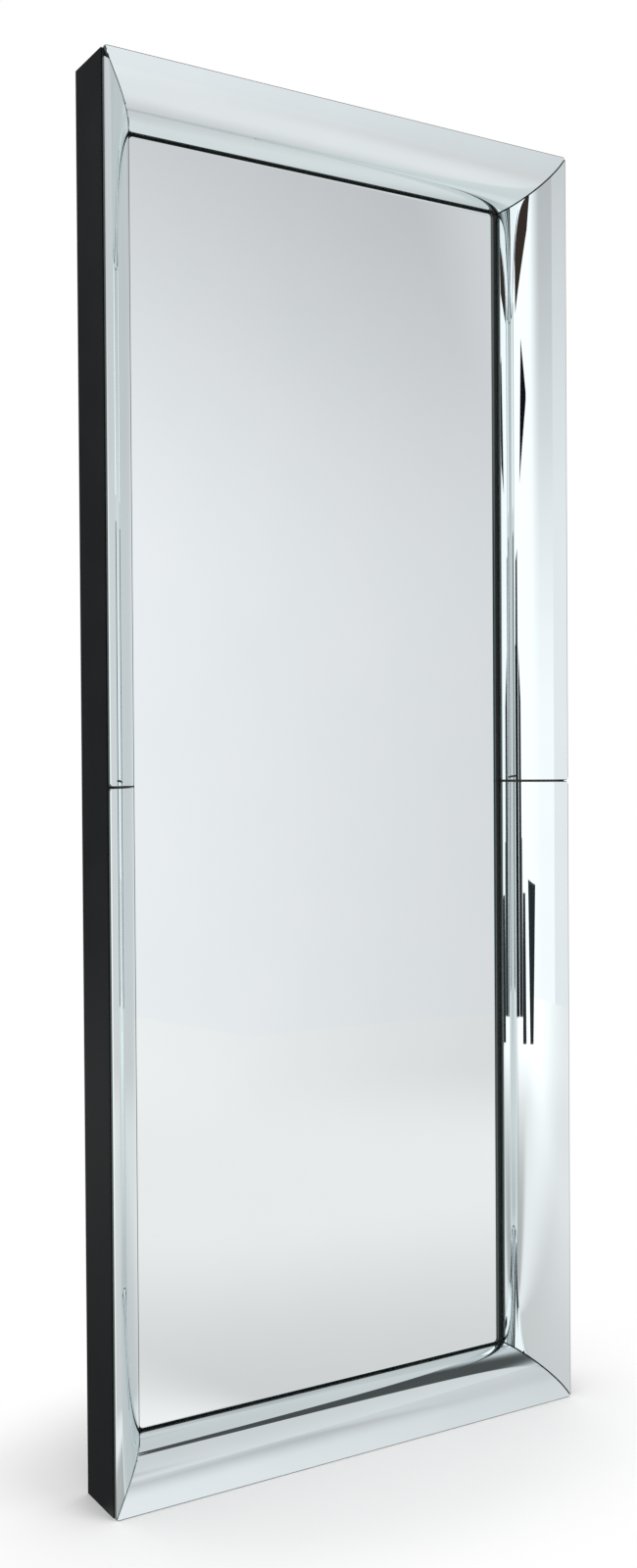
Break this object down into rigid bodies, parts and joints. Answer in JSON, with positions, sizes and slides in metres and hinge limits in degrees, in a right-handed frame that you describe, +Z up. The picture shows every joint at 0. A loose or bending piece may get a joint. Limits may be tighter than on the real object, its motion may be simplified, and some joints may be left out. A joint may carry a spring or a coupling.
{
  "type": "full length mirror",
  "caption": "Tall rectangular mirror: a flat pane set back in a black box frame, bordered by curved mirror glass strips mitred at the corners, with swinging hanger rings behind.",
  "frame": {"origin": "middle of the underside of the box, at half its depth", "axes": "+X to the viewer's right, +Y from the viewer towards the wall, +Z up"},
  "size_m": [0.8, 0.1, 2],
  "materials": {
    "mirror_glass": "polished, silvered behind",
    "black_lacquered_board": "satin black lacquer",
    "black_back_panel": "matt black paint",
    "black_edge_tape": "matt",
    "mirror_tape": "matt",
    "pine": "planed",
    "fibreboard": "sawn",
    "beech": "turned",
    "zinc_plated_steel": "bright zinc plated"
  },
  "bodies": {
    "mirror": {"back_panel": "black_back_panel", "back_panel_screws": "zinc_plated_steel", "bottom_batten": "pine", "bottom_board": "black_lacquered_board", "bottom_edge_tape": "black_edge_tape", "bottom_mirror_strip": "mirror_glass", "bottom_rib_1": "fibreboard", "bottom_rib_2": "fibreboard", "bottom_rib_3": "fibreboard", "centre_mirror_pane": "mirror_glass", "corner_dowels": "beech", "hanging_rail": "pine", "left_batten": "pine", "left_hanger_screws": "zinc_plated_steel", "left_hanger_strap": "zinc_plated_steel", "left_lower_edge_tape": "black_edge_tape", "left_lower_mirror_strip": "mirror_glass", "left_rib_1": "fibreboard", "left_rib_2": "fibreboard", "left_rib_3": "fibreboard", "left_rib_4": "fibreboard", "left_rib_5": "fibreboard", "left_side_board": "black_lacquered_board", "left_upper_edge_tape": "black_edge_tape", "left_upper_mirror_strip": "mirror_glass", "pane_tapes": "mirror_tape", "right_batten": "pine", "right_hanger_screws": "zinc_plated_steel", "right_hanger_strap": "zinc_plated_steel", "right_lower_edge_tape": "black_edge_tape", "right_lower_mirror_strip": "mirror_glass", "right_rib_1": "fibreboard", "right_rib_2": "fibreboard", "right_rib_3": "fibreboard", "right_rib_4": "fibreboard", "right_rib_5": "fibreboard", "right_side_board": "black_lacquered_board", "right_upper_edge_tape": "black_edge_tape", "right_upper_mirror_strip": "mirror_glass", "top_board": "black_lacquered_board", "top_edge_tape": "black_edge_tape", "top_mirror_strip": "mirror_glass", "top_rib_1": "fibreboard", "top_rib_2": "fibreboard", "top_rib_3": "fibreboard"},
    "left_ring": {"left_hanger_ring": "zinc_plated_steel"},
    "right_ring": {"right_hanger_ring": "zinc_plated_steel"}
  },
  "joints": [
    {"name": "left_ring_swing", "type": "hinge", "parent": "mirror", "child": "left_ring", "pos_m": [-0.25, 0.0474, 1.967], "axis": [1, 0, 0], "range_deg": [0, 180]},
    {"name": "right_ring_swing", "type": "hinge", "parent": "mirror", "child": "right_ring", "pos_m": [0.25, 0.0474, 1.967], "axis": [1, 0, 0], "range_deg": [0, 180]}
  ]
}
